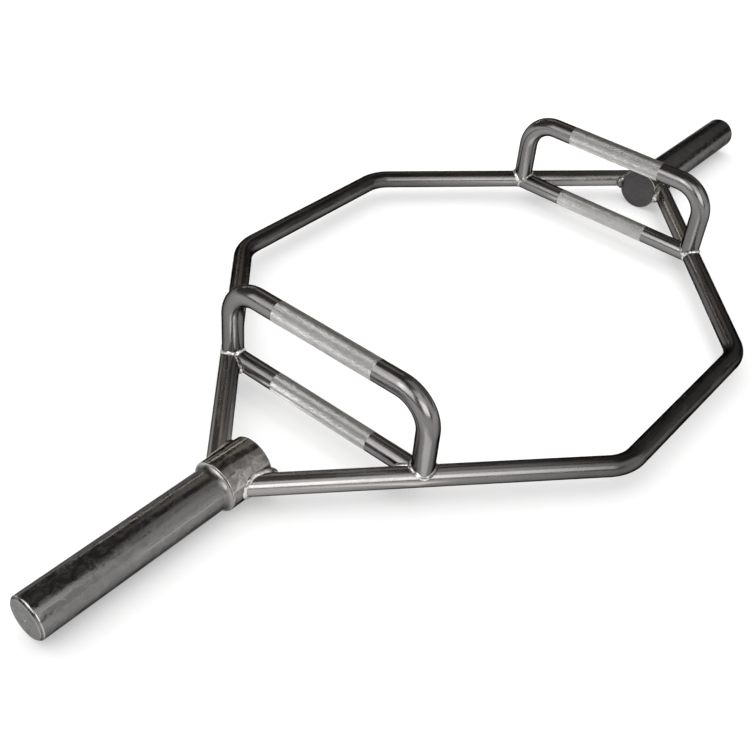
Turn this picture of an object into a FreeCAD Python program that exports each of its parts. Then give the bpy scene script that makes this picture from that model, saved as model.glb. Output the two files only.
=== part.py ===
import FreeCAD
import Part
import math
import os

# A hex trap bar, in millimetres. X runs along the two plate sleeves, Y across the frame and Z up.
# The origin is on the surface the bar rests on, midway between the sleeves. Left is -X, front is -Y.

# Layout of the frame
OVERALL_LENGTH = 1450.0      # end face to end face of the two sleeves
FRAME_LENGTH = 976.0         # of the hexagon, between the points where the arms' centrelines meet
FRAME_WIDTH = 611.0          # between the centrelines of the two long sides
ARM_ANGLE = 41.5             # degrees, between an arm and the axis of the sleeves
GRIP_LENGTH = 301.5          # along a grip, between the centrelines of its two arms
GRIP_RAISE = 104.0           # raised grip above low grip, centre to centre
POST_INSET = 4.0             # each post stands this much inside the centreline of its rail

# Round bar stock and its bends, which are measured on the centreline
RAIL_DIAMETER = 25.0
LOW_GRIP_DIAMETER = 24.5     # a little under the rail, so that its notched end wraps round
RAISED_GRIP_DIAMETER = 27.0
RAIL_BEND_RADIUS = 56.0
RAISED_GRIP_BEND_RADIUS = 42.0

# Turned sleeve and the collar that it is seated in
SLEEVE_DIAMETER = 50.0
COLLAR_DIAMETER = 60.0
COLLAR_LENGTH = 57.0
SPIGOT_DIAMETER = 46.0       # root of the sleeve, inside the collar
SEAT_CLEARANCE = 0.05        # between spigot and collar, on the radius
SLEEVE_CHAMFER = 2.0
COLLAR_EDGE_RADIUS = 1.0
CENTRE_HOLE_DIAMETER = 5.0   # left by the lathe in the end face
CENTRE_HOLE_ANGLE = 60.0

# Knurled band of each grip
KNURL_MARGIN = 76.75         # from the centreline of an arm to the near end of the band
KNURL_RISE = 0.35            # crests of the knurl above the plain bar

# Feet of the posts and weld beads
POST_FOOT = 5.0              # flat of a post's foot, beside its notch, above the rail's centreline
SHOULDER_WELD_LEG = 3.0
HUB_WELD_RADIUS = 4.0
LOW_GRIP_WELD_RADIUS = 2.6   # in the sharp corner between grip and arm
LOW_GRIP_OPEN_RADIUS = 7.0   # in the open corner, where the same leg needs a flatter bead
LOW_GRIP_WELD_HEIGHT = 18.0  # on the flanks; above and below it grip and rail run flush
POST_WELD_WIDTH = 2.6        # out from the post
POST_WELD_CREST = 1.8        # up the post, above the crest of the rail
SEAM_TOLERANCE = 0.001

# Worked out from the sizes above
RAIL_RADIUS = RAIL_DIAMETER / 2
LOW_GRIP_RADIUS = LOW_GRIP_DIAMETER / 2
RAISED_GRIP_RADIUS = RAISED_GRIP_DIAMETER / 2
SLEEVE_RADIUS = SLEEVE_DIAMETER / 2
COLLAR_RADIUS = COLLAR_DIAMETER / 2
SPIGOT_RADIUS = SPIGOT_DIAMETER / 2
AXIS_HEIGHT = COLLAR_RADIUS                         # the bar rests on its collars
SLEEVE_END = OVERALL_LENGTH / 2
APEX = FRAME_LENGTH / 2                             # the arms aim at this point of the sleeves' axis
COLLAR_OUTER = APEX                                 # outer face of a collar
COLLAR_INNER = COLLAR_OUTER - COLLAR_LENGTH
ARM_SLOPE = math.tan(math.radians(ARM_ANGLE))
CORNER_Y = FRAME_WIDTH / 2
CORNER_X = APEX - CORNER_Y / ARM_SLOPE
GRIP_Y = GRIP_LENGTH / 2
GRIP_X = APEX - GRIP_Y / ARM_SLOPE
POST_Y = GRIP_Y - POST_INSET
KNURL_HALF = GRIP_Y - KNURL_MARGIN

SIDES = {"left": -1, "right": 1}
FACES = {"front": -1, "rear": 1}
UP = FreeCAD.Vector(0, 0, 1)


def vec(x, y, z=0.0):
    """A point given from the middle of the frame's own plane."""
    return FreeCAD.Vector(x, y, z + AXIS_HEIGHT)


def cylinder(radius, start, end):
    """A round bar from one point to another."""
    along = end - start
    return Part.makeCylinder(radius, along.Length, start, along)


def turned(points, sx):
    """A solid turned about the sleeves' axis from (x, radius) points, where a third value is an arc's middle."""
    edges = []
    for start, end in zip(points, points[1:] + points[:1]):
        p = FreeCAD.Vector(sx * start[0], 0, start[1] + AXIS_HEIGHT)
        q = FreeCAD.Vector(sx * end[0], 0, end[1] + AXIS_HEIGHT)
        if len(start) > 2:
            mid = FreeCAD.Vector(sx * start[2][0], 0, start[2][1] + AXIS_HEIGHT)
            edges.append(Part.Arc(p, mid, q).toShape())
        else:
            edges.append(Part.LineSegment(p, q).toShape())
    face = Part.Face(Part.Wire(edges))
    return face.revolve(vec(0, 0), FreeCAD.Vector(1, 0, 0), 360)


def quarter(centre, radius, sign_x, sign_r):
    """Middle of a quarter arc about a centre, in the quadrant given by the two signs."""
    reach = radius * math.sqrt(0.5)
    return (centre[0] + sign_x * reach, centre[1] + sign_r * reach)


def bent_bar(corners, bend_radius, bar_radius):
    """A round bar along straight runs, with each inner corner bent to the radius."""
    edges = []
    start = corners[0]
    for before, corner, after in zip(corners, corners[1:], corners[2:]):
        back = (before - corner).normalize()
        ahead = (after - corner).normalize()
        half = back.getAngle(ahead) / 2
        tangent = bend_radius / math.tan(half)
        middle = (back + ahead).normalize() * (bend_radius / math.sin(half) - bend_radius)
        first = corner + back * tangent
        last = corner + ahead * tangent
        edges.append(Part.LineSegment(start, first).toShape())
        edges.append(Part.Arc(first, corner + middle, last).toShape())
        start = last
    edges.append(Part.LineSegment(start, corners[-1]).toShape())
    section = Part.Wire(Part.makeCircle(bar_radius, corners[0], corners[1] - corners[0]))
    return Part.Wire(edges).makePipeShell([section], True, False)


def sleeve(sx):
    """Solid turned sleeve: spigot, bevel for the weld, plate surface, chamfer and lathe centre."""
    hole_radius = CENTRE_HOLE_DIAMETER / 2
    hole_depth = hole_radius / math.tan(math.radians(CENTRE_HOLE_ANGLE / 2))
    return turned([
        (COLLAR_INNER, 0),
        (COLLAR_INNER, SPIGOT_RADIUS),
        (COLLAR_OUTER, SPIGOT_RADIUS),
        (COLLAR_OUTER + SHOULDER_WELD_LEG, SLEEVE_RADIUS),
        (SLEEVE_END - SLEEVE_CHAMFER, SLEEVE_RADIUS),
        (SLEEVE_END, SLEEVE_RADIUS - SLEEVE_CHAMFER),
        (SLEEVE_END, hole_radius),
        (SLEEVE_END - hole_depth, 0),
    ], sx)


def collar(sx):
    """Bored collar with rounded rims, which the two rails are welded to and plates stop against."""
    bore = SPIGOT_RADIUS + SEAT_CLEARANCE
    edge = COLLAR_EDGE_RADIUS
    rim = COLLAR_RADIUS - edge
    inner = COLLAR_INNER + edge
    outer = COLLAR_OUTER - edge
    return turned([
        (COLLAR_INNER, bore),
        (COLLAR_INNER, rim, quarter((inner, rim), edge, -1, 1)),
        (inner, COLLAR_RADIUS),
        (outer, COLLAR_RADIUS, quarter((outer, rim), edge, 1, 1)),
        (COLLAR_OUTER, rim),
        (COLLAR_OUTER, bore),
    ], sx)


def shoulder_weld(sx):
    """Weld that fills the bevel at the sleeve's root and runs out in a hollow onto collar and sleeve."""
    leg = SHOULDER_WELD_LEG
    toe = COLLAR_OUTER + leg
    crest = SLEEVE_RADIUS + leg
    return turned([
        (COLLAR_OUTER, SPIGOT_RADIUS),
        (COLLAR_OUTER, crest, quarter((toe, crest), leg, -1, -1)),
        (toe, SLEEVE_RADIUS),
    ], sx)


def collar_envelope(sx):
    """The full round of collar and spigot, which the ends of the rails are coped to."""
    return cylinder(COLLAR_RADIUS, vec(sx * COLLAR_INNER, 0), vec(sx * COLLAR_OUTER, 0))


def arm_root(sx, sy):
    """Start of an arm's centreline, halfway in from the collar's surface to its axis."""
    root_y = COLLAR_RADIUS / 2
    return vec(sx * (APEX - root_y / ARM_SLOPE), sy * root_y)


def rail(sy):
    """One half of the hexagon: arm, long side and arm, bent from one bar and coped to both collars."""
    corners = [
        arm_root(-1, sy),
        vec(-CORNER_X, sy * CORNER_Y),
        vec(CORNER_X, sy * CORNER_Y),
        arm_root(1, sy),
    ]
    bar = bent_bar(corners, RAIL_BEND_RADIUS, RAIL_RADIUS)
    return bar.cut([collar_envelope(sx) for sx in SIDES.values()])


def low_grip(sx, rails):
    """Straight knurled bar between two arms, with each end notched round its arm."""
    bar = cylinder(LOW_GRIP_RADIUS, vec(sx * GRIP_X, -GRIP_Y), vec(sx * GRIP_X, GRIP_Y))
    return bar.cut(rails).fuse(knurl_band(sx, LOW_GRIP_RADIUS, 0)).removeSplitter()


def raised_grip(sx, rails, low):
    """Bar bent to a staple that stands on two arms, each foot notched round the arm and the low grip."""
    corners = [
        vec(sx * GRIP_X, POST_Y, POST_FOOT),
        vec(sx * GRIP_X, POST_Y, GRIP_RAISE),
        vec(sx * GRIP_X, -POST_Y, GRIP_RAISE),
        vec(sx * GRIP_X, -POST_Y, POST_FOOT),
    ]
    bar = bent_bar(corners, RAISED_GRIP_BEND_RADIUS, RAISED_GRIP_RADIUS)
    band = knurl_band(sx, RAISED_GRIP_RADIUS, GRIP_RAISE)
    return bar.cut(rails + [low]).fuse(band).removeSplitter()


def knurl_band(sx, bar_radius, height):
    """Knurled stretch in the middle of a grip, up to the crests of its diamonds."""
    start = vec(sx * GRIP_X, -KNURL_HALF, height)
    return cylinder(bar_radius + KNURL_RISE, start, vec(sx * GRIP_X, KNURL_HALF, height))


def arm_stub():
    """The straight of the right front arm, from inside its collar to the corner of the frame."""
    return cylinder(RAIL_RADIUS, arm_root(1, -1), vec(CORNER_X, -CORNER_Y))


def fillet_weld(base, bar, radius):
    """Hollow bead that a ball of the radius would leave in the seam between a bar and a round base."""
    joined = base.fuse(bar)
    seam = []
    for edge in joined.Edges:
        middle = edge.valueAt((edge.FirstParameter + edge.LastParameter) / 2)
        if all(solid.isInside(middle, SEAM_TOLERANCE, True) for solid in (base, bar)):
            seam.append(edge)
    return joined.makeFillet(radius, seam).cut([base, bar])


def hub_weld():
    """Bead round the coped end of an arm, dressed off where the round of the collar's inner rim begins."""
    base = cylinder(COLLAR_RADIUS, vec(COLLAR_INNER - COLLAR_LENGTH, 0), vec(SLEEVE_END, 0))
    kept = cylinder(COLLAR_DIAMETER, vec(COLLAR_INNER + COLLAR_EDGE_RADIUS, 0), vec(COLLAR_OUTER, 0))
    return fillet_weld(base, arm_stub(), HUB_WELD_RADIUS).common(kept)


def low_grip_weld(raised):
    """Bead on each flank of the end of a low grip, on its arm, up to the post that stands there."""
    end = vec(GRIP_X, -GRIP_Y)
    grip = cylinder(LOW_GRIP_RADIUS, end, vec(GRIP_X, 0))
    rise = UP * (LOW_GRIP_WELD_HEIGHT / 2)
    reach = FreeCAD.Vector(8 * LOW_GRIP_RADIUS, 0, 0)
    beads = []
    for radius, centre in ((LOW_GRIP_WELD_RADIUS, end + reach), (LOW_GRIP_OPEN_RADIUS, end - reach)):
        flank = cylinder(reach.Length, centre - rise, centre + rise)
        beads += fillet_weld(arm_stub(), grip, radius).common(flank).cut(raised).Solids
    return Part.makeCompound(beads)


def post_weld(neighbours):
    """Oval bead round the foot of a post, from the flat of its foot to above the crest of the arm."""
    axis = vec(GRIP_X, -POST_Y)
    half_height = (RAIL_RADIUS - POST_FOOT) / 2 + POST_WELD_CREST
    centre = axis + FreeCAD.Vector(RAISED_GRIP_RADIUS, 0, (RAIL_RADIUS + POST_FOOT) / 2)
    oval = Part.Ellipse(centre + UP * half_height, centre + FreeCAD.Vector(POST_WELD_WIDTH, 0, 0), centre)
    ring = Part.Face(Part.Wire(oval.toShape())).revolve(axis, UP, 360)
    return ring.cut(neighbours)


def mirrored(bead, sx, sy):
    """A bead of the right front corner, carried over to another corner of the frame."""
    if sx < 0:
        bead = bead.mirror(vec(0, 0), FreeCAD.Vector(1, 0, 0))
    if sy > 0:
        bead = bead.mirror(vec(0, 0), FreeCAD.Vector(0, 1, 0))
    return bead


def build():
    """Every piece of the bar, by name."""
    pieces = {}
    rails = {face: rail(sy) for face, sy in FACES.items()}
    for face, bar in rails.items():
        pieces[face + "_rail"] = bar
    for name, sx in SIDES.items():
        low = low_grip(sx, list(rails.values()))
        pieces[name + "_sleeve"] = sleeve(sx)
        pieces[name + "_collar"] = collar(sx)
        pieces[name + "_shoulder_weld"] = shoulder_weld(sx)
        pieces[name + "_low_grip"] = low
        pieces[name + "_raised_grip"] = raised_grip(sx, list(rails.values()), low)
    low = pieces["right_low_grip"]
    raised = pieces["right_raised_grip"]
    low_bead = low_grip_weld(raised)
    beads = {
        "_hub_weld": hub_weld(),
        "_low_grip_weld": low_bead,
        "_post_weld": post_weld([rails["front"], low, raised, low_bead]),
    }
    for name, sx in SIDES.items():
        for face, sy in FACES.items():
            for kind, bead in beads.items():
                pieces[name + "_" + face + kind] = mirrored(bead, sx, sy)
    return pieces


os.makedirs("parts", exist_ok=True)
for node, shape in build().items():
    shape.exportStep("parts/" + node + ".step")
    print(node, len(shape.Solids), shape.isValid(), round(shape.Volume))
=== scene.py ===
"""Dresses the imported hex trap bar: fine bar and turned meshes, knurl, weld beads, plated finishes and a studio."""

import logging
import math
from collections.abc import Callable, Sequence
from dataclasses import dataclass, field
from enum import Enum
from functools import partial
from typing import Any

import bmesh
import bpy
import numpy as np
from mathutils import Matrix, Vector


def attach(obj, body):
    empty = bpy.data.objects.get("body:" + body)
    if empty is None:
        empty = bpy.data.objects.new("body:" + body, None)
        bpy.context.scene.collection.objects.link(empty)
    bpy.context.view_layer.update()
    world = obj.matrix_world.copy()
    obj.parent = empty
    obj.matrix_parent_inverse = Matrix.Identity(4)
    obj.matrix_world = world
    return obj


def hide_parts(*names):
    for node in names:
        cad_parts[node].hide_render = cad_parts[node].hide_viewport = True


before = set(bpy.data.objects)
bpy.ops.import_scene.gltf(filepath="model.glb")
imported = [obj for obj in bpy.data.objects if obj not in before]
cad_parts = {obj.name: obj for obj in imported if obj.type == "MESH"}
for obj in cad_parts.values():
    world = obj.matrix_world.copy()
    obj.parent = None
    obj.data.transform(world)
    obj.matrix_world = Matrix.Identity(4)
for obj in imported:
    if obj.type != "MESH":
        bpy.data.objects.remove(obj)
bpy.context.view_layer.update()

log = logging.getLogger("hex_trap_bar")

MM = 0.001
BODY = "root"
WHITE = "#FFFFFF"
UP = Vector((0.0, 0.0, 1.0))
ALONG = Vector((1.0, 0.0, 0.0))     # the way that the sleeves point
WRAP = "wrap"                       # UV map: metres along a bar or a turned profile, metres round it
WEAR = "wear"                       # vertex attribute: 1 where a painted highlight makes the plating paler
CREST = "crest"                     # vertex attribute: 1 at the tip of a knurl diamond, 0 in the grooves
RUN = "run"                         # attribute of a bead: metres along it
FULL = "full"                       # attribute of a bead: 1, and less where an open end runs out
BEND_STEP = math.radians(1.5)       # between two rings of a bend
SHARP_ANGLE = math.radians(28)      # from which an edge is shaded sharp
BAR_POINTS = 96                     # round a bar
TURNED_POINTS = 144                 # round a turned piece
ROUND_STEPS = 5                     # along a rounded rim
NEAR = 0.01                         # millimetres within which a face counts as lying on a plane

# Smudges and pits of the plating, as levels of their noise
SMUDGE_SPREAD = 0.22                # how far the share of smudges moves their edge
SMUDGE_EDGE = (0.2, 0.22)           # softness of that edge, inside and outside
PIT_EDGE = (0.66, 0.74)
PIT_TARNISH = 0.6
LINE_GLOSS = 0.06                   # change of roughness across the drawn or turned lines

# Shape of a weld bead
NO_TAPER = 0.01                     # for a closed bead, which has no ends to run out
END_CLEAR = 0.05                    # millimetres that keep a bead's end from having no width
BEAD_POINTS = 20                    # round a bead
RIPPLE_BOW = 0.28                   # ripples by which the top of a bead runs ahead of its foot
RIPPLE_STRAY = 3.0                  # ripples by which the lumps shift them
LUMP_SWELL = 44.0                   # ripple heights from the lowest noise to the highest
LUMP_DROP = -24.0                   # ripple heights at the lowest noise

# Types of nodes that come often. A Mix node's colour sockets go by number, because others share their names.
MATH = "ShaderNodeMath"
VECTOR_MATH = "ShaderNodeVectorMath"
COMBINE = "ShaderNodeCombineXYZ"
NOISE = "ShaderNodeTexNoise"
MAP_RANGE = "ShaderNodeMapRange"
BUMP = "ShaderNodeBump"
MIX = "ShaderNodeMix"
STORE = "GeometryNodeStoreNamedAttribute"
READ = "GeometryNodeInputNamedAttribute"
RANDOM = "FunctionNodeRandomValue"
MIX_FROM, MIX_TO, MIXED = 6, 7, 2

Links = dict[str | int, bpy.types.Node | bpy.types.NodeSocket]
Adder = Callable[..., bpy.types.Node]
RingShaper = Callable[[np.ndarray], np.ndarray]


class Side(Enum):
    """Which sleeve a piece belongs to, with the sign of its X."""

    LEFT = -1
    RIGHT = 1


class Face(Enum):
    """Which half of the hexagon a piece belongs to, with the sign of its Y."""

    FRONT = -1
    REAR = 1


class Slot(Enum):
    """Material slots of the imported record."""

    FRAME = "frame_plating"
    GRIP = "grip_plating"
    SLEEVE = "sleeve_plating"
    COLLAR = "collar_plating"
    WELD = "weld_plating"


class GripWeld(Enum):
    """Welds of the grips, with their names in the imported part."""

    LOW = "low_grip_weld"
    POST = "post_weld"


def linear(colour: str) -> tuple[float, float, float, float]:
    """Turns an sRGB hex colour to linear light.

    Args:
        colour: six hex digits after a hash.

    Returns:
        Red, green and blue in linear light, and an alpha of 1.
    """
    channels = [int(colour[i:i + 2], 16) / 255 for i in (1, 3, 5)]
    light = [c / 12.92 if c <= 0.04045 else ((c + 0.055) / 1.055) ** 2.4 for c in channels]
    return (*light, 1.0)


def add_node(tree: bpy.types.NodeTree, kind: str, settings: dict[str | int, Any] | None = None,
             links: Links | None = None) -> bpy.types.Node:
    """Adds a node with its settings and links.

    Args:
        tree: the node tree that gets the node.
        kind: the node's type.
        settings: values by the node's property, or by an input's name or number.
        links: what feeds an input, by its name or number: an output, or a node for its first output.

    Returns:
        The new node.
    """
    node = tree.nodes.new(kind)
    settings = settings or {}
    own = [key for key in settings if str(key) in node.bl_rna.properties]
    for key in own:
        setattr(node, key, settings[key])
    for key in settings.keys() - own:
        node.inputs[key].default_value = settings[key]
    for key, source in (links or {}).items():
        output = source.outputs[0] if isinstance(source, bpy.types.Node) else source
        tree.links.new(output, node.inputs[key])
    return node


def cleared(owner: bpy.types.Material | bpy.types.World) -> Adder:
    """Clears the node tree of a material or a world.

    Args:
        owner: the material or the world.

    Returns:
        What adds nodes to its tree.
    """
    owner.use_nodes = True
    owner.node_tree.nodes.clear()
    return partial(add_node, owner.node_tree)


def add_object(name: str, data: bpy.types.ID) -> bpy.types.Object:
    """Adds an object to the scene.

    Args:
        name: its name.
        data: its mesh, light or camera.

    Returns:
        The object.
    """
    made = bpy.data.objects.new(name, data)
    bpy.context.scene.collection.objects.link(made)
    return made


def per_metre(size_mm: float) -> float:
    """Scale of a texture whose features are this many millimetres wide."""
    return 1.0 / (size_mm * MM)


@dataclass(frozen=True, kw_only=True)
class Finish:
    """What all the plated finishes share: steel that mirrors less at a glancing angle."""

    name: str
    rim_colour: str = "#5A5A5A"         # of what it mirrors at a glancing angle
    stretch: float = 0.0                # how far the gloss runs out along the piece

    def surface(self, add: Adder) -> Links:
        """Adds the nodes that make the surface what it is.

        Args:
            add: what adds nodes to the material.

        Returns:
            What feeds the shader.
        """
        raise NotImplementedError

    def material(self) -> bpy.types.Material:
        """Builds the finish.

        Returns:
            The finished material.
        """
        made = bpy.data.materials.new(self.name)
        add = cleared(made)
        tint = linear(self.rim_colour)
        steel = add(
            "ShaderNodeBsdfPrincipled", {"Metallic": 1.0, "Anisotropic": self.stretch, "Specular Tint": tint},
            self.surface(add),
        )
        add("ShaderNodeOutputMaterial", links={"Surface": steel})
        return made


@dataclass(frozen=True, kw_only=True)
class PlatedSteel(Finish):
    """Bright plating over steel, polished first, so that it mirrors the floor and the dark of the room.

    The plating is thin and slightly smoky. Handling leaves smudges that blur the mirror, and the bar's own
    drawing or turning marks run under it as fine lines. The lines and the pits are coarser than real ones, because
    those would be too fine to show.
    """

    colour: str
    dull_colour: str
    # colour of the painted highlight, where the plating is painted paler
    worn_colour: str
    roughness: float
    dull_roughness: float
    smudge_mm: tuple[float, float]      # length along, and width round
    smudge_share: float                 # part of the surface that is smudged
    line_mm: tuple[float, float]        # length and spacing of the drawn or turned lines
    line_depth_mm: float
    speck_mm: float                     # width of the pits
    wave_mm: float                      # width of the gentle hollows under the plating
    wave_depth_mm: float
    rim_colour: str = "#3C3C3C"

    def surface(self, add: Adder) -> Links:
        """Adds smudges, pits, painted highlights, lines and hollows.

        Args:
            add: what adds nodes to the material.

        Returns:
            What feeds the shader.
        """
        wrap = add("ShaderNodeUVMap", {"uv_map": WRAP})
        place = add("ShaderNodeTexCoord").outputs["Object"]
        wear = add("ShaderNodeAttribute", {"attribute_name": WEAR}).outputs["Fac"]
        spread, drawn = (
            add("ShaderNodeMapping", {"Scale": (per_metre(size[0]), per_metre(size[1]), 1.0)}, {"Vector": wrap})
            for size in (self.smudge_mm, self.line_mm)
        )
        smudge = add(
            NOISE, {"noise_dimensions": "2D", "Scale": 1.0, "Detail": 6.0, "Roughness": 0.62, "Distortion": 0.6},
            {"Vector": spread},
        )
        lines = add(
            NOISE, {"noise_dimensions": "2D", "Scale": 1.0, "Detail": 3.0, "Roughness": 0.7}, {"Vector": drawn}
        )
        specks = add(NOISE, {"Scale": per_metre(self.speck_mm), "Detail": 2.0}, {"Vector": place})
        waves = add(
            NOISE, {"Scale": per_metre(self.wave_mm), "Detail": 3.0, "Roughness": 0.55, "Distortion": 0.4},
            {"Vector": place},
        )
        edge = 0.5 + SMUDGE_SPREAD * (1 - 2 * self.smudge_share)
        low, high = edge - SMUDGE_EDGE[0], edge + SMUDGE_EDGE[1]
        dull = add(
            MAP_RANGE, {"interpolation_type": "SMOOTHSTEP", "From Min": low, "From Max": high}, {"Value": smudge}
        )
        low, high = PIT_EDGE
        pits = add(MAP_RANGE, {"From Min": low, "From Max": high, "To Max": PIT_TARNISH}, {"Value": specks})
        tarnish = add(MATH, {"operation": "MAXIMUM"}, {0: dull, 1: pits})
        plated = add(
            MIX, {"data_type": "RGBA", MIX_FROM: linear(self.colour), MIX_TO: linear(self.dull_colour)}, {0: tarnish}
        )
        # Painted highlight: the plating turns to the paler colour where the sheen attribute is 1
        rubbed = add(
            MIX, {"data_type": "RGBA", MIX_TO: linear(self.worn_colour)}, {0: wear, MIX_FROM: plated.outputs[MIXED]}
        )
        blur = add(MAP_RANGE, {"To Min": self.roughness, "To Max": self.dull_roughness}, {"Value": dull})
        grain = add(MATH, {"operation": "MULTIPLY_ADD", 1: LINE_GLOSS, 2: -LINE_GLOSS / 2}, {0: lines})
        gloss = add(MATH, {"operation": "ADD", "use_clamp": True}, {0: blur, 1: grain})
        hollows = add(BUMP, {"Strength": 1.0, "Distance": self.wave_depth_mm * MM}, {"Height": waves})
        relief = add(
            BUMP, {"Strength": 1.0, "Distance": self.line_depth_mm * MM}, {"Height": lines, "Normal": hollows}
        )
        lengthwise = add("ShaderNodeTangent", {"direction_type": "UV_MAP", "uv_map": WRAP})
        return {"Base Color": rubbed.outputs[MIXED], "Roughness": gloss, "Normal": relief, "Tangent": lengthwise}


@dataclass(frozen=True, kw_only=True)
class KnurledSteel(Finish):
    """Knurl rolled into the bar before plating: paler tips over darker grooves."""

    tip_colour: str
    groove_colour: str
    tip_roughness: float
    groove_roughness: float
    patch_mm: float
    patch_reach: float = 0.9            # how much patches of grime differ, as a share of a diamond's height

    def surface(self, add: Adder) -> Links:
        """Adds the colours of tips and grooves, and patches of grime.

        Args:
            add: what adds nodes to the material.

        Returns:
            What feeds the shader.
        """
        crest = add("ShaderNodeAttribute", {"attribute_name": CREST}).outputs["Fac"]
        place = add("ShaderNodeTexCoord").outputs["Object"]
        patch = add(NOISE, {"Scale": per_metre(self.patch_mm), "Detail": 5.0, "Roughness": 0.6}, {"Vector": place})
        grime = add(MATH, {"operation": "MULTIPLY_ADD", 1: self.patch_reach, 2: -self.patch_reach / 2}, {0: patch})
        height = add(MATH, {"operation": "ADD", "use_clamp": True}, {0: crest, 1: grime})
        colours = {MIX_FROM: linear(self.groove_colour), MIX_TO: linear(self.tip_colour)}
        colour = add(MIX, {"data_type": "RGBA", **colours}, {0: height})
        gloss = add(MAP_RANGE, {"To Min": self.groove_roughness, "To Max": self.tip_roughness}, {"Value": height})
        return {"Base Color": colour.outputs[MIXED], "Roughness": gloss}


@dataclass(frozen=True, kw_only=True)
class WeldSteel(Finish):
    """Plated weld metal, left as it flowed: painted glints in bright patches, darker metal between them, with a fine
    grit.
    """

    colour: str
    soot_colour: str
    roughness: float
    soot_roughness: float
    spot_mm: float
    grit_mm: float
    grit_depth_mm: float
    seed: float
    soot_edge: tuple[float, float] = (0.44, 0.58)

    def surface(self, add: Adder) -> Links:
        """Adds the painted glints in patches, and the grit.

        Args:
            add: what adds nodes to the material.

        Returns:
            What feeds the shader.
        """
        place = add("ShaderNodeTexCoord").outputs["Object"]
        spots = add(
            NOISE,
            {"noise_dimensions": "4D", "W": self.seed, "Scale": per_metre(self.spot_mm), "Detail": 4.0,
             "Roughness": 0.6},
            {"Vector": place},
        )
        # Painted glints: the bright colour where the noise is low, the darker colour between them
        low, high = self.soot_edge
        soot = add(
            MAP_RANGE, {"interpolation_type": "SMOOTHSTEP", "From Min": low, "From Max": high}, {"Value": spots}
        )
        grit = add(NOISE, {"Scale": per_metre(self.grit_mm), "Detail": 3.0}, {"Vector": place})
        colours = {MIX_FROM: linear(self.colour), MIX_TO: linear(self.soot_colour)}
        colour = add(MIX, {"data_type": "RGBA", **colours}, {0: soot})
        gloss = add(MAP_RANGE, {"To Min": self.roughness, "To Max": self.soot_roughness}, {"Value": soot})
        relief = add(BUMP, {"Strength": 1.0, "Distance": self.grit_depth_mm * MM}, {"Height": grit})
        return {"Base Color": colour.outputs[MIXED], "Roughness": gloss, "Normal": relief}


@dataclass
class Station:
    """One ring of a swept bar, in millimetres."""

    centre: Vector
    tangent: Vector
    radius: float
    along: float = 0.0


def bent_path(corners: Sequence[Vector], bend_radius: float, radius: float) -> list[Station]:
    """Stations along straight runs, with each inner corner bent to the radius.

    Args:
        corners: ends and corners of the centreline.
        bend_radius: radius of the bends, on the centreline.
        radius: radius of the bar.

    Returns:
        Stations in order, with their length along the bar.
    """
    made = [Station(corners[0], (corners[1] - corners[0]).normalized(), radius)]
    for before, corner, after in zip(corners, corners[1:], corners[2:]):
        ahead_in = (corner - before).normalized()
        ahead_out = (after - corner).normalized()
        turn = ahead_in.angle(ahead_out)
        reach = bend_radius * math.tan(turn / 2)
        inward = (ahead_out - ahead_in * ahead_in.dot(ahead_out)).normalized()
        count = max(2, round(turn / BEND_STEP))
        for i in range(count + 1):
            angle = turn * i / count
            centre = (
                corner - ahead_in * reach
                + ahead_in * (bend_radius * math.sin(angle))
                + inward * (bend_radius * (1 - math.cos(angle)))
            )
            tangent = ahead_in * math.cos(angle) + inward * math.sin(angle)
            made.append(Station(centre, tangent, radius))
    made.append(Station(corners[-1], (corners[-1] - corners[-2]).normalized(), radius))
    for before, after in zip(made, made[1:]):
        after.along = before.along + (after.centre - before.centre).length
    return made


def with_band(stations: list[Station], start: float, end: float, radius: float) -> list[Station]:
    """Sets a stretch of a straight run to another radius.

    Args:
        stations: stations of the bar.
        start: where the stretch begins, as a length along the bar.
        end: where it ends.
        radius: radius of the bar within it.

    Returns:
        The stations with two more at each end of the stretch.
    """
    made = []
    for before, after in zip(stations, stations[1:]):
        made.append(before)
        for mark, *radii in ((start, before.radius, radius), (end, radius, after.radius)):
            if before.along < mark < after.along:
                share = (mark - before.along) / (after.along - before.along)
                centre = before.centre.lerp(after.centre, share)
                made += [Station(centre, before.tangent, size, mark) for size in radii]
    return made + [stations[-1]]


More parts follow.
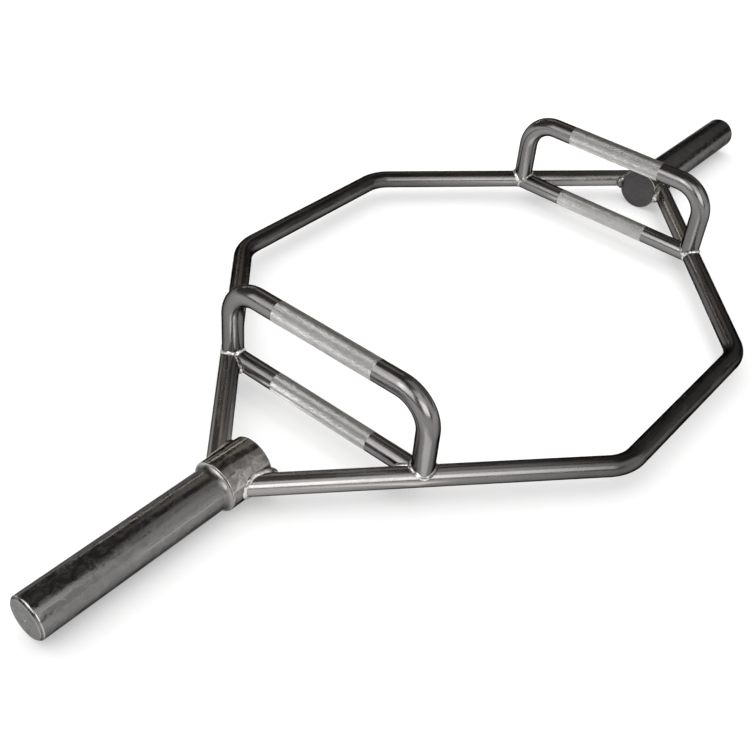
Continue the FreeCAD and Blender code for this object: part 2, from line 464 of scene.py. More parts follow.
def closed_mesh(name: str, rings: np.ndarray, along: Sequence[float], girth: float, wear: Sequence[float],
                poles: Sequence[Vector]) -> bpy.types.Mesh:
    """Skins a row of rings to a closed, smooth mesh with a UV map in metres.

    Args:
        name: name of the mesh.
        rings: points as rings, points of a ring and coordinates, in millimetres.
        along: length along the piece at each ring, in millimetres.
        girth: length once round the piece, in millimetres.
        wear: painted highlight at each ring, from 0 to 1.
        poles: middle points that close the first and the last ring. Without them the last ring joins the first.

    Returns:
        The mesh, in metres.
    """
    count, around = rings.shape[:2]
    points = [tuple(p) for p in rings.reshape(-1, 3) * MM]
    faces = []
    wraps = []
    v = [girth * MM * k / around for k in range(around + 1)]
    for i in range(count - 1 if poles else count):
        j = (i + 1) % count
        u0 = along[i] * MM
        u1 = along[j] * MM if j else u0 + MM        # any length does for the row inside that closes a profile
        for k in range(around):
            m = (k + 1) % around
            faces.append((i * around + k, i * around + m, j * around + m, j * around + k))
            wraps += [(u0, v[k]), (u0, v[k + 1]), (u1, v[k + 1]), (u1, v[k])]
    for end, pole in zip((0, count - 1), poles):
        centre = len(points)
        points.append(tuple(pole * MM))
        u = along[end] * MM
        reach = float(np.linalg.norm(rings[end, 0] - np.array(pole))) * MM * (1 if end else -1)
        for k in range(around):
            faces.append((end * around + k, end * around + (k + 1) % around, centre))
            wraps += [(u, v[k]), (u, v[k + 1]), (u + reach, (v[k] + v[k + 1]) / 2)]
    mesh = bpy.data.meshes.new(name)
    mesh.from_pydata(points, [], faces)
    mesh.uv_layers.new(name=WRAP).data.foreach_set("uv", np.array(wraps, np.float32).ravel())
    values = np.zeros(len(points), np.float32)
    values[:count * around] = np.repeat(wear, around)
    mesh.attributes.new(WEAR, "FLOAT", "POINT").data.foreach_set("value", values)
    work = bmesh.new()
    work.from_mesh(mesh)
    bmesh.ops.recalc_face_normals(work, faces=work.faces)
    work.to_mesh(mesh)
    work.free()
    mesh.shade_smooth()
    mesh.set_sharp_from_angle(angle=SHARP_ANGLE)
    mesh.update()
    return mesh


def swept(name: str, stations: Sequence[Station], binormal: Vector, ends: tuple[RingShaper, RingShaper],
          wear: Sequence[float]) -> bpy.types.Mesh:
    """Sweeps a round bar along its stations and shapes both its ends.

    Args:
        name: name of the mesh.
        stations: rings of the bar, in order.
        binormal: direction square to the plane that the bar is bent in.
        ends: what moves the points of the first and of the last ring.
        wear: painted highlight at each station, from 0 to 1.

    Returns:
        The mesh, in metres.
    """
    angles = np.linspace(0, math.tau, BAR_POINTS, endpoint=False)
    rings = []
    for station in stations:
        normal = np.array(binormal.cross(station.tangent).normalized())
        ring = np.outer(np.cos(angles), normal) + np.outer(np.sin(angles), np.array(binormal))
        rings.append(np.array(station.centre) + station.radius * ring)
    for end, shaper in zip((0, -1), ends):
        rings[end] = shaper(rings[end])
    poles = [Vector(rings[end].mean(0)) for end in (0, -1)]
    girth = math.tau * stations[0].radius
    return closed_mesh(name, np.array(rings), [s.along for s in stations], girth, wear, poles)


@dataclass
class ProfilePoint:
    """A point of a turned profile, in millimetres."""

    x: float                # along the axis
    radius: float
    fillet: float = 0.0     # radius that its corner is rounded to
    # painted highlight at this point, from 0 to 1
    wear: float = 0.0


def rounded(points: Sequence[ProfilePoint]) -> list[ProfilePoint]:
    """Rounds the corners of a profile that have a fillet.

    Args:
        points: corners of the profile.

    Returns:
        The profile with its rounds, whose middles carry a painted highlight.
    """
    made = []
    for i, point in enumerate(points):
        if not point.fillet:
            made.append(point)
            continue
        near = (points[i - 1], point, points[(i + 1) % len(points)])
        before, here, after = (Vector((p.x, p.radius)) for p in near)
        back = (before - here).normalized()
        ahead = (after - here).normalized()
        half = back.angle(ahead) / 2
        centre = here + (back + ahead).normalized() * (point.fillet / math.sin(half))
        first, last = (here + way * (point.fillet / math.tan(half)) - centre for way in (back, ahead))
        # The middle of each round gets the painted highlight
        for k in range(ROUND_STEPS + 1):
            arm = first.lerp(last, k / ROUND_STEPS).normalized() * point.fillet
            made.append(ProfilePoint(centre.x + arm.x, centre.y + arm.y, wear=float(0 < k < ROUND_STEPS)))
    return made


def turned(name: str, corners: Sequence[ProfilePoint], sign: int, height: float) -> bpy.types.Mesh:
    """Turns a profile about the axis of the sleeves.

    Args:
        name: name of the mesh.
        corners: corners of the profile, in order. It starts and ends on the axis, or it is a ring's and closes.
        sign: 1 for the right sleeve, -1 for the left.
        height: of the axis above the floor.

    Returns:
        The mesh, in metres.
    """
    profile = rounded(corners)
    poles = [Vector((sign * p.x, 0.0, height)) for p in (profile[0], profile[-1]) if not p.radius]
    if poles:
        profile = profile[1:-1]
    angles = np.linspace(0, math.tau, TURNED_POINTS, endpoint=False)
    across, up = np.cos(angles), np.sin(angles)
    rings = np.array([
        np.stack([np.full(TURNED_POINTS, sign * p.x), p.radius * across, height + p.radius * up], 1) for p in profile
    ])
    along = [0.0]
    for before, after in zip(profile, profile[1:]):
        along.append(along[-1] + math.hypot(after.x - before.x, after.radius - before.radius))
    girth = math.tau * max(p.radius for p in profile)
    return closed_mesh(name, rings, along, girth, [p.wear for p in profile], poles)


def run_tree(name: str, tree: bpy.types.NodeTree, base: bpy.types.Mesh, inputs: dict[str, Any]) -> bpy.types.Mesh:
    """Runs a geometry tree on a mesh and keeps the result as a plain mesh.

    Args:
        name: name of the result.
        tree: the geometry tree.
        base: mesh that the tree starts from, which is removed.
        inputs: values by the name of the tree's input.

    Returns:
        The plain mesh.
    """
    holder = add_object(name + "_holder", base)
    modifier = holder.modifiers.new("shape", "NODES")
    modifier.node_group = tree
    for item in tree.interface.items_tree:
        if item.in_out == "INPUT" and item.name in inputs:
            modifier[item.identifier] = inputs[item.name]
    graph = bpy.context.evaluated_depsgraph_get()
    made = bpy.data.meshes.new_from_object(holder.evaluated_get(graph))
    made.name = name
    holder.modifiers.remove(modifier)
    bpy.data.objects.remove(holder)
    bpy.data.meshes.remove(base)
    return made


def new_tree(name: str, sizes: dict[str, str]) -> tuple[bpy.types.NodeTree, Adder, bpy.types.NodeOutputs]:
    """Starts a geometry tree, whose inputs are a geometry, its sizes and a material.

    Args:
        name: name of the tree.
        sizes: types of its sizes by name.

    Returns:
        The tree, what adds nodes to it, and its inputs by name.
    """
    tree = bpy.data.node_groups.new(name, "GeometryNodeTree")
    for label, kind in {"Geometry": "Geometry", **sizes, "Material": "Material"}.items():
        tree.interface.new_socket(label, in_out="INPUT", socket_type="NodeSocket" + kind)
    tree.interface.new_socket("Geometry", in_out="OUTPUT", socket_type="NodeSocketGeometry")
    return tree, partial(add_node, tree), add_node(tree, "NodeGroupInput").outputs


def end_tree(add: Adder, shape: bpy.types.Node, smooth: bool, material: bpy.types.NodeSocket) -> None:
    """Closes a tree with real instances, its shading and its material.

    Args:
        add: what adds nodes to the tree.
        shape: node of the finished shape.
        smooth: whether the shape is shaded smooth.
        material: the tree's input for the material.
    """
    real = add("GeometryNodeRealizeInstances", links={"Geometry": shape})
    shaded = add("GeometryNodeSetShadeSmooth", {"Shade Smooth": smooth}, {"Geometry": real})
    dressed = add("GeometryNodeSetMaterial", links={"Geometry": shaded, "Material": material})
    add("NodeGroupOutput", links={"Geometry": dressed})


def knurl_tree() -> bpy.types.NodeTree:
    """Builds the tree that rolls a band of diamonds round a bar that lies along Y.

    Returns:
        The geometry tree.
    """
    tree, add, given = new_tree("knurl", {
        "Columns": "Int", "Rows": "Int", "Radius": "Float", "Half Width": "Float", "Half Length": "Float",
        "Rise": "Float", "Least Rise": "Float", "Centre": "Vector", "Stray": "Float", "Seed": "Int",
    })
    columns, rows, seed = given["Columns"], given["Rows"], {"Seed": given["Seed"]}
    # Row and column of each diamond, with every other row half a diamond further round
    index = add("GeometryNodeInputIndex")
    share = add(MATH, {"operation": "DIVIDE"}, {0: index, 1: columns})
    row = add(MATH, {"operation": "FLOOR"}, {0: share})
    column = add(MATH, {"operation": "MODULO"}, {0: index, 1: columns})
    odd = add(MATH, {"operation": "MODULO", 1: 2.0}, {0: row})
    shifted = add(MATH, {"operation": "MULTIPLY_ADD", 1: 0.5}, {0: odd, 2: column})
    # Its place on the bar, from the middle of the band
    turn = add(MATH, {"operation": "DIVIDE"}, {0: shifted, 1: columns})
    angle = add(MATH, {"operation": "MULTIPLY", 1: math.tau}, {0: turn})
    cosine = add(MATH, {"operation": "COSINE"}, {0: angle})
    sine = add(MATH, {"operation": "SINE"}, {0: angle})
    radial = add(COMBINE, links={"X": cosine, "Z": sine})
    place = add(VECTOR_MATH, {"operation": "SCALE"}, {0: radial, "Scale": given["Radius"]})
    last = add(MATH, {"operation": "SUBTRACT", 1: 1.0}, {0: rows})
    middle = add(MATH, {"operation": "MULTIPLY", 1: 0.5}, {0: last})
    step = add(MATH, {"operation": "SUBTRACT"}, {0: row, 1: middle})
    along = add(MATH, {"operation": "MULTIPLY"}, {0: step, 1: given["Half Length"]})
    lengthwise = add(COMBINE, links={"Y": along})
    any_way = add(RANDOM, {"data_type": "FLOAT_VECTOR", 0: (-1.0, -1.0, -1.0), 1: (1.0, 1.0, 1.0)}, seed)
    strayed = add(VECTOR_MATH, {"operation": "SCALE"}, {0: any_way, "Scale": given["Stray"]})
    for move in (lengthwise, given["Centre"], strayed):
        place = add(VECTOR_MATH, {"operation": "ADD"}, {0: place, 1: move})
    total = add(MATH, {"operation": "MULTIPLY"}, {0: columns, 1: rows})
    points = add("GeometryNodePoints", links={"Count": total, "Position": place})
    # The diamond, a low pyramid that faces outwards and is more or less worn down
    diamond = add(
        "GeometryNodeMeshCone",
        {"fill_type": "NGON", "Vertices": 4, "Radius Top": 0.0, "Radius Bottom": 1.0, "Depth": 1.0},
    )
    height = add("ShaderNodeSeparateXYZ", links={0: add("GeometryNodeInputPosition")}).outputs["Z"]
    marked = add(
        STORE, {"data_type": "FLOAT", "domain": "POINT", "Name": CREST}, {"Geometry": diamond, "Value": height}
    )
    facing = add(
        "FunctionNodeAxesToRotation",
        {"primary_axis": "Z", "secondary_axis": "X", "Secondary Axis": (0.0, 1.0, 0.0)}, {"Primary Axis": radial},
    )
    uneven = add(RANDOM, {"data_type": "FLOAT", 3: 1.0}, {2: given["Least Rise"], **seed}).outputs[1]
    tall = add(MATH, {"operation": "MULTIPLY"}, {0: given["Rise"], 1: uneven})
    size = add(COMBINE, links={"X": given["Half Length"], "Y": given["Half Width"], "Z": tall})
    spread = add(
        "GeometryNodeInstanceOnPoints",
        links={"Points": points, "Instance": marked, "Rotation": facing, "Scale": size},
    )
    end_tree(add, spread, False, given["Material"])
    return tree


def bead_tree() -> bpy.types.NodeTree:
    """Builds the tree that lays a rippled weld bead along a seam.

    Returns:
        The geometry tree.
    """
    tree, add, given = new_tree("weld_bead", {
        "Bead Radius": "Float", "Ripple Pitch": "Float", "Ripple Height": "Float", "Lump Length": "Float",
        "End Taper": "Float", "Step": "Float", "Seed": "Float",
    })
    # The seam as an even curve that knows its length and how full the bead is
    seam = add("GeometryNodeMeshToCurve", links={"Mesh": given["Geometry"]})
    even = add("GeometryNodeResampleCurve", {"mode": "LENGTH"}, {"Curve": seam, "Length": given["Step"]})
    run = add("GeometryNodeSplineParameter").outputs["Length"]
    rest = add(MATH, {"operation": "SUBTRACT"}, {0: add("GeometryNodeSplineLength"), 1: run})
    nearest = add(MATH, {"operation": "MINIMUM"}, {0: run, 1: rest})
    clear = add(MATH, {"operation": "ADD", 1: END_CLEAR * MM}, {0: nearest})
    ramp = add(MATH, {"operation": "DIVIDE", "use_clamp": True}, {0: clear, 1: given["End Taper"]})
    root = add(MATH, {"operation": "POWER", 1: 0.5}, {0: ramp})
    path = even
    for label, value in ((RUN, run), (FULL, root)):
        path = add(
            STORE, {"data_type": "FLOAT", "domain": "POINT", "Name": label}, {"Geometry": path, "Value": value}
        )
    circle = add("GeometryNodeCurvePrimitiveCircle", {"Resolution": BEAD_POINTS}, {"Radius": given["Bead Radius"]})
    tube = add("GeometryNodeCurveToMesh", {"Fill Caps": True}, {"Curve": path, "Profile Curve": circle})
    # Lumps, and ripples that bow along the bead and stray with the lumps
    length, full = (add(READ, {"data_type": "FLOAT", "Name": label}) for label in (RUN, FULL))
    normal = add("GeometryNodeInputNormal")
    tilt = add("ShaderNodeSeparateXYZ", links={0: normal}).outputs["Z"]
    lump_scale = add(MATH, {"operation": "DIVIDE", 0: 1.0}, {1: given["Lump Length"]})
    lumps = add(
        NOISE, {"noise_dimensions": "4D", "Detail": 2.0},
        {"Vector": add("GeometryNodeInputPosition"), "W": given["Seed"], "Scale": lump_scale},
    )
    waves = add(MATH, {"operation": "DIVIDE"}, {0: length, 1: given["Ripple Pitch"]})
    bowed = add(MATH, {"operation": "MULTIPLY_ADD", 1: RIPPLE_BOW}, {0: tilt, 2: waves})
    strayed = add(MATH, {"operation": "MULTIPLY_ADD", 1: RIPPLE_STRAY}, {0: lumps, 2: bowed})
    phase = add(MATH, {"operation": "MULTIPLY", 1: math.tau}, {0: strayed})
    sine = add(MATH, {"operation": "SINE"}, {0: phase})
    swell = add(MATH, {"operation": "MULTIPLY_ADD", 1: LUMP_SWELL, 2: LUMP_DROP}, {0: lumps})
    relief = add(MATH, {"operation": "ADD"}, {0: sine, 1: swell})
    raised = add(MATH, {"operation": "MULTIPLY"}, {0: relief, 1: given["Ripple Height"]})
    # Both fade, and the bead itself narrows, where it runs out
    held = add(MATH, {"operation": "MULTIPLY"}, {0: raised, 1: full})
    short = add(MATH, {"operation": "SUBTRACT", 1: 1.0}, {0: full})
    closing = add(MATH, {"operation": "MULTIPLY_ADD"}, {0: short, 1: given["Bead Radius"], 2: held})
    moved = add(VECTOR_MATH, {"operation": "SCALE"}, {0: normal, "Scale": closing})
    bead = add("GeometryNodeSetPosition", links={"Geometry": tube, "Offset": moved})
    end_tree(add, bead, True, given["Material"])
    return tree


def add_piece(name: str, mesh: bpy.types.Mesh, node: str | None = None,
              platings: Sequence[bpy.types.Material] = ()) -> None:
    """Adds a finished piece to the part.

    Args:
        name: name of the piece.
        mesh: its mesh, in place.
        node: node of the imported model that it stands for.
        platings: its materials, where the mesh has none yet.
    """
    piece = add_object(name, mesh)
    for plating in platings:
        mesh.materials.append(plating)
    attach(piece, BODY)
    if node:
        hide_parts(node)
    log.info("%s: %d faces, for %s", name, len(mesh.polygons), node or "no node")


@dataclass
class Layout:
    """Main sizes of the bar, in millimetres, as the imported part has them."""

    overall_length: float = 1450.0
    frame_length: float = 976.0
    frame_width: float = 611.0
    arm_angle: float = 41.5
    grip_length: float = 301.5
    grip_raise: float = 104.0
    post_inset: float = 4.0
    post_foot: float = 5.0
    rail_radius: float = 12.5
    rail_bend: float = 56.0
    low_grip_radius: float = 12.25
    raised_grip_radius: float = 13.5
    raised_grip_bend: float = 42.0
    knurl_half: float = 74.0
    collar_radius: float = 30.0
    collar_length: float = 57.0
    sleeve_radius: float = 25.0
    spigot_radius: float = 23.0

    @property
    def apex(self) -> float:
        """Where the arms' centrelines meet on the axis of the sleeves, and the collars' outer faces stand."""
        return self.frame_length / 2

    @property
    def back(self) -> float:
        """Where the inner faces of the collars and the spigots stand."""
        return self.apex - self.collar_length

    @property
    def end(self) -> float:
        """Where the end faces of the sleeves stand."""
        return self.overall_length / 2

    @property
    def arm(self) -> float:
        """Angle between an arm and the sleeves, in radians."""
        return math.radians(self.arm_angle)

    @property
    def slope(self) -> float:
        """Rise of an arm across the frame for each millimetre along it."""
        return math.tan(self.arm)

    @property
    def height(self) -> float:
        """Height of the sleeves' axis, because the bar rests on its collars."""
        return self.collar_radius

    @property
    def grip_x(self) -> float:
        """Distance of the grips from the middle."""
        return self.apex - self.grip_length / 2 / self.slope

    def off_arm(self, x: np.ndarray, y: np.ndarray) -> np.ndarray:
        """Distance of points of the right rear quarter from the arm's centreline, in plan, inwards.

        Args:
            x: distances along the sleeves.
            y: distances across the frame.

        Returns:
            The distances.
        """
        return ((self.apex - x) * self.slope - y) * math.cos(self.arm)


@dataclass
class Seam:
    """Points of a seam, with the directions that both its walls face, in millimetres."""

    points: np.ndarray
    bar_normals: np.ndarray
    base_normals: np.ndarray
    closed: bool = True

    def bead_line(self, radius: float, sink: float) -> np.ndarray:
        """Centreline of a bead that lies in the corner of the seam.

        Args:
            radius: radius of the bead.
            sink: share of the radius by which it is sunk in the corner.

        Returns:
            Points of the centreline.
        """
        between = self.bar_normals + self.base_normals
        size = np.linalg.norm(between, axis=1, keepdims=True)
        return self.points + between / size * radius * (2 / size - sink)


@dataclass
class WeldBeads:
    """Lays rippled beads along seams, with sizes in millimetres."""

    tree: bpy.types.NodeTree
    finish: bpy.types.Material
    pitch: float = 4.0
    ripple: float = 0.06
    lump: float = 7.0
    step: float = 0.5
    sink: float = 1.7

    def lay(self, node: str, seams: Sequence[Seam], radius: float, seed: float, taper: float = NO_TAPER) -> None:
        """Lays one weld.

        Args:
            node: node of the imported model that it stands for.
            seams: the seams that it fills.
            radius: radius of the bead.
            seed: seed of its lumps.
            taper: length over which an open bead runs out.
        """
        points: list[tuple[float, float, float]] = []
        edges: list[tuple[int, int]] = []
        for seam in seams:
            first = len(points)
            points += [tuple(p) for p in seam.bead_line(radius, self.sink) * MM]
            edges += [(i, i + 1) for i in range(first, len(points) - 1)]
            if seam.closed:
                edges.append((len(points) - 1, first))
        name = node + "_bead"
        base = bpy.data.meshes.new(name + "_seam")
        base.from_pydata(points, edges, [])
        mesh = run_tree(name, self.tree, base, {
            "Bead Radius": radius * MM, "Ripple Pitch": self.pitch * MM, "Ripple Height": self.ripple * MM,
            "Lump Length": self.lump * MM, "End Taper": taper * MM, "Step": self.step * MM, "Seed": seed,
            "Material": self.finish,
        })
        add_piece(name, mesh, node)


@dataclass
class Rail:
    """One half of the hexagon: arm, long side and arm, bent from one bar and coped to both collars."""

    layout: Layout
    face: Face
    hub_bead: float = 4.8
    seams: dict[Side, Seam] = field(default_factory=dict)

    def cope(self, side: Side, ring: np.ndarray) -> np.ndarray:
        """Shapes an end of the bar to the round of its collar, and keeps it as a seam.

        Args:
            side: the collar's side.
            ring: points of the end ring.

        Returns:
            The points where they meet the collar.
        """
        plan = self.layout
        out = np.array([-side.value * math.cos(plan.arm), self.face.value * math.sin(plan.arm), 0.0])
        lift = ring[:, 2] - plan.height
        reach = np.sqrt(plan.collar_radius ** 2 - lift ** 2) - ring[:, 1] * self.face.value
        points = ring + np.outer(reach / math.sin(plan.arm), out)
        base = np.stack([np.zeros(len(ring)), points[:, 1], lift], 1) / plan.collar_radius
        self.seams[side] = Seam(points, (ring - ring.mean(0)) / plan.rail_radius, base)
        return points

    def build(self, finish: bpy.types.Material) -> None:
        """Builds the bar.

        Args:
            finish: its plating.
        """
        plan = self.layout
        corner_y = plan.frame_width / 2
        corner_x = plan.apex - corner_y / plan.slope
        plane = [(-plan.apex, 0.0), (-corner_x, corner_y), (corner_x, corner_y), (plan.apex, 0.0)]
        corners = [Vector((x, self.face.value * y, plan.height)) for x, y in plane]
        stations = bent_path(corners, plan.rail_bend, plan.rail_radius)
        wear = [1.0] + [0.0] * (len(stations) - 2) + [1.0]      # painted highlight on the arms, less and less from the collars
        node = self.face.name.lower() + "_rail"
        name = node + "_bar"
        mesh = swept(name, stations, UP, (partial(self.cope, Side.LEFT), partial(self.cope, Side.RIGHT)), wear)
        add_piece(name, mesh, node, [finish])

    def weld(self, beads: WeldBeads) -> None:
        """Welds both ends to their collars, each with a seed of its own.

        Args:
            beads: what lays the beads.
        """
        for side, seam in self.seams.items():
            node = f"{side.name}_{self.face.name}_hub_weld".lower()
            beads.lay(node, [seam], self.hub_bead, 3.0 * side.value + self.face.value)


@dataclass
class Knurl:
    """Knurled band of a grip, in millimetres. A rolled knurl of this kind has diamonds of about 1.4 mm, which are
    under two pixels wide in the picture, so they are drawn somewhat coarser."""

    tree: bpy.types.NodeTree
    finish: bpy.types.Material
    width: float = 1.7
    length: float = 3.2
    depth: float = 0.5
    rise: float = 0.35              # of the crests above the plain bar
    stray: float = 0.08
    least_rise: float = 0.7         # share of its height that the most worn diamond keeps
    overlap: float = 1.08           # of neighbours, so that the grooves stay closed

    def roll(self, name: str, centre: Vector, radius: float, half: float, seed: int) -> None:
        """Rolls one band.

        Args:
            name: name of the piece.
            centre: middle of the band, in millimetres.
            radius: radius of the plain bar.
            half: half the length of the band.
            seed: seed of the diamonds' heights.
        """
        root = radius + self.rise - self.depth
        columns = round(math.tau * root / self.width)
        rows = round(2 * half / (self.length / 2)) - 1
        mesh = run_tree(name, self.tree, bpy.data.meshes.new(name + "_seed"), {
            "Columns": columns, "Rows": rows, "Radius": root * MM,
            "Half Width": math.pi * root / columns * self.overlap * MM, "Half Length": half / (rows + 1) * 2 * MM,
            "Rise": self.depth * MM, "Least Rise": self.least_rise, "Centre": [c * MM for c in centre],
            "Stray": self.stray * MM, "Seed": seed, "Material": self.finish,
        })
        add_piece(name, mesh)


@dataclass
class Grips:
    """Low and raised grip of one side, with their knurl and their welds, in millimetres."""

    layout: Layout
    side: Side
    band_drop: float = 0.12             # plain core of the band, under the bar's own surface
    low_bead: float = 3.8
    low_taper: float = 3.0
    post_bead: float = 4.6
    flank_height: float = 10.5          # of the low grip's welds, above and below the axis
    seams: dict[tuple[GripWeld, Face], list[Seam]] = field(default_factory=dict)

    def arm_normal(self, off: np.ndarray, lift: np.ndarray, face: Face) -> np.ndarray:
        """Direction that the surface of an arm faces.

        Args:
            off: distance inwards from the arm's centreline.
            lift: height above it.
            face: the arm's half of the hexagon.

        Returns:
            Unit directions.
        """
        arm = self.layout.arm
        inward = np.array([-self.side.value * math.sin(arm), -face.value * math.cos(arm), 0.0])
        made = np.outer(off, inward) + np.outer(lift, np.array(UP))
        return made / np.linalg.norm(made, axis=1, keepdims=True)

    def notch(self, face: Face, ring: np.ndarray) -> np.ndarray:
        """Shapes an end of the low grip round its arm, and keeps both flanks as seams.

        Args:
            face: the arm's half of the hexagon.
            ring: points of the end ring.

        Returns:
            The points where they meet the arm.
        """
        plan = self.layout
        lift = ring[:, 2] - plan.height
        off = np.sqrt(plan.rail_radius ** 2 - lift ** 2)
        arm_y = (plan.apex - ring[:, 0] * self.side.value) * plan.slope
        points = ring.copy()
        points[:, 1] = face.value * (arm_y - off / math.cos(plan.arm))
        bar = (ring - ring.mean(0)) / plan.low_grip_radius
        base = self.arm_normal(off, lift, face)
        flanks = []
        for sign in (-1, 1):
            chosen = np.nonzero((bar[:, 0] * sign > 0) & (np.abs(lift) < self.flank_height))[0]
            order = chosen[np.argsort(lift[chosen])]
            flanks.append(Seam(points[order], bar[order], base[order], closed=False))
        self.seams[GripWeld.LOW, face] = flanks
        return points

    def foot(self, face: Face, ring: np.ndarray) -> np.ndarray:
        """Shapes a foot of the raised grip round its arm and the low grip, and keeps it as a seam.

        Args:
            face: the arm's half of the hexagon.
            ring: points of the end ring.

        Returns:
            The points where they meet the arm and the low grip.
        """
        plan = self.layout
        centre = ring.mean(0)
        off = plan.off_arm(ring[:, 0] * self.side.value, ring[:, 1] * face.value)
        rail = np.sqrt(np.clip(plan.rail_radius ** 2 - off ** 2, 0, None))
        beside = np.abs(ring[:, 0] - centre[0])
        low = np.sqrt(np.clip(plan.low_grip_radius ** 2 - beside ** 2, 0, None)) * (off > 0)
        points = ring.copy()
        points[:, 2] = plan.height + np.maximum(np.maximum(rail, low), plan.post_foot)
        widest = math.sqrt(plan.rail_radius ** 2 - plan.post_foot ** 2)
        base = self.arm_normal(np.clip(off, -widest, widest), np.maximum(rail, plan.post_foot), face)
        self.seams[GripWeld.POST, face] = [Seam(points, (ring - centre) / plan.raised_grip_radius, base)]
        return points

    def build(self, finish: bpy.types.Material, knurl: Knurl) -> None:
        """Builds both bars with their knurl.

        Args:
            finish: the plating of the bars.
            knurl: what rolls the bands.
        """
        plan = self.layout
        x = self.side.value * plan.grip_x
        across = plan.grip_length / 2
        post_y = across - plan.post_inset
        staple = [(post_y, plan.post_foot), (post_y, plan.grip_raise)]
        staple += [(-y, z) for y, z in reversed(staple)]
        bars = {
            "low_grip": (plan.low_grip_radius, self.notch, [(across, 0.0), (-across, 0.0)]),
            "raised_grip": (plan.raised_grip_radius, self.foot, staple),
        }
        for number, (kind, (radius, shape, plane)) in enumerate(bars.items()):
            corners = [Vector((x, y, plan.height + z)) for y, z in plane]
            level = max(corner.z for corner in corners)
            stations = bent_path(corners, plan.raised_grip_bend, radius)
            middle = stations[-1].along / 2
            start, end = middle - plan.knurl_half, middle + plan.knurl_half
            stations = with_band(stations, start, end, radius - self.band_drop)
            # A painted highlight lies on the level part, not on the posts
            wear = [max(0.0, 1 - (level - s.centre.z) / plan.raised_grip_bend) for s in stations]
            node = f"{self.side.name.lower()}_{kind}"
            name = node + "_bar"
            mesh = swept(name, stations, ALONG, (partial(shape, Face.REAR), partial(shape, Face.FRONT)), wear)
            add_piece(name, mesh, node, [finish])
            seed = 2 * self.side.value + number + 3         # one of its own for each band
            knurl.roll(node + "_knurl", Vector((x, 0.0, level)), radius, plan.knurl_half, seed)

    def weld(self, beads: WeldBeads) -> None:
        """Welds both grips to their arms, each end with a seed of its own.

        Args:
            beads: what lays the beads.
        """
        sizes = {GripWeld.LOW: (self.low_bead, self.low_taper), GripWeld.POST: (self.post_bead, NO_TAPER)}
        for (kind, face), seams in self.seams.items():
            radius, taper = sizes[kind]
            node = f"{self.side.name}_{face.name}_{kind.value}".lower()
            beads.lay(node, seams, radius, 5.0 * self.side.value + 2.0 * face.value + len(seams), taper)


@dataclass
class Hub:
    """Sleeve, collar and shoulder weld of one side, in millimetres."""

    layout: Layout
    side: Side
    chamfer: float = 2.6
    chamfer_round: float = 2.4
    rim_round: float = 1.0
    seat: float = 0.05              # between the spigot and its bore
    weld_leg: float = 9.0
    weld_rise: float = 4.6
    weld_steps: int = 12            # along the hollow of the weld
    worn_steps: int = 8             # over which the painted highlight on its lip fades
    hole_radius: float = 2.5        # of the lathe centre
    hole_angle: float = 60.0
    hole_round: float = 0.3
    hole_margin: float = 0.5        # round the lathe centre that is plated like the end face

    def turn(self, kind: str, way: str, slot: Slot, corners: Sequence[ProfilePoint],
             platings: Sequence[bpy.types.Material]) -> None:
        """Turns one piece and plates it.

        Args:
            kind: name of its node, after the side.
            way: how it was made, for the name of the piece.
            slot: its material slot; not used.
            corners: corners of its profile.
            platings: its platings: the main one, the inner face's and the outer end's, as far as it has them.
        """
        plan = self.layout
        node = f"{self.side.name.lower()}_{kind}"
        name = f"{node}_{way}"
        mesh = turned(name, corners, self.side.value, plan.height)
        for plating in platings:
            mesh.materials.append(plating)
        for face in mesh.polygons:
            x, y, z = face.center / MM
            off_axis = math.hypot(y, z - plan.height)
            if abs(x) < plan.back + NEAR:
                face.material_index = 1
            elif abs(x) > plan.end - NEAR or (abs(x) > plan.apex and off_axis < self.hole_radius + self.hole_margin):
                face.material_index = 2
        add_piece(name, mesh, node)

    def sleeve(self, platings: Sequence[bpy.types.Material]) -> None:
        """Builds the turned sleeve with its spigot, chamfer and lathe centre.

        Args:
            platings: of the sleeve, of the spigot's face, which is flush with the collar's, and of the end face.
        """
        plan = self.layout
        hole = self.hole_radius / math.tan(math.radians(self.hole_angle / 2))
        self.turn("sleeve", "turned", Slot.SLEEVE, [
            ProfilePoint(plan.back, 0.0),
            ProfilePoint(plan.back, plan.spigot_radius),
            ProfilePoint(plan.apex, plan.spigot_radius),
            ProfilePoint(plan.apex + self.weld_leg, plan.sleeve_radius),
            ProfilePoint(plan.end - self.chamfer, plan.sleeve_radius, self.chamfer_round),
            ProfilePoint(plan.end, plan.sleeve_radius - self.chamfer, self.chamfer_round / 2),
            ProfilePoint(plan.end, self.hole_radius, self.hole_round),
            ProfilePoint(plan.end - hole, 0.0),
        ], platings)

    def collar(self, platings: Sequence[bpy.types.Material]) -> None:
        """Builds the bored collar with its rounded rims.

        Args:
            platings: of the collar and of its inner face.
        """
        plan = self.layout
        bore = plan.spigot_radius + self.seat
        self.turn("collar", "turned", Slot.COLLAR, [
            ProfilePoint(plan.back, bore),
            ProfilePoint(plan.back, plan.collar_radius, self.rim_round),
            ProfilePoint(plan.apex, plan.collar_radius, self.rim_round),
            ProfilePoint(plan.apex, bore),
        ], platings)

    def shoulder(self, finish: bpy.types.Material) -> None:
        """Builds the dressed weld between sleeve and collar, hollow, with a painted highlight on its lip at the
        collar.

        Args:
            finish: its plating.
        """
        plan = self.layout
        corners = [ProfilePoint(plan.apex, plan.spigot_radius)]
        for i in range(self.weld_steps):
            angle = math.pi / 2 * i / self.weld_steps
            x = plan.apex + self.weld_leg * (1 - math.cos(angle))
            radius = plan.sleeve_radius + self.weld_rise * (1 - math.sin(angle))
            corners.append(ProfilePoint(x, radius, wear=max(0.0, 1 - i / self.worn_steps)))
        corners.append(ProfilePoint(plan.apex + self.weld_leg, plan.sleeve_radius))
        self.turn("shoulder_weld", "dressed", Slot.WELD, corners, [finish])


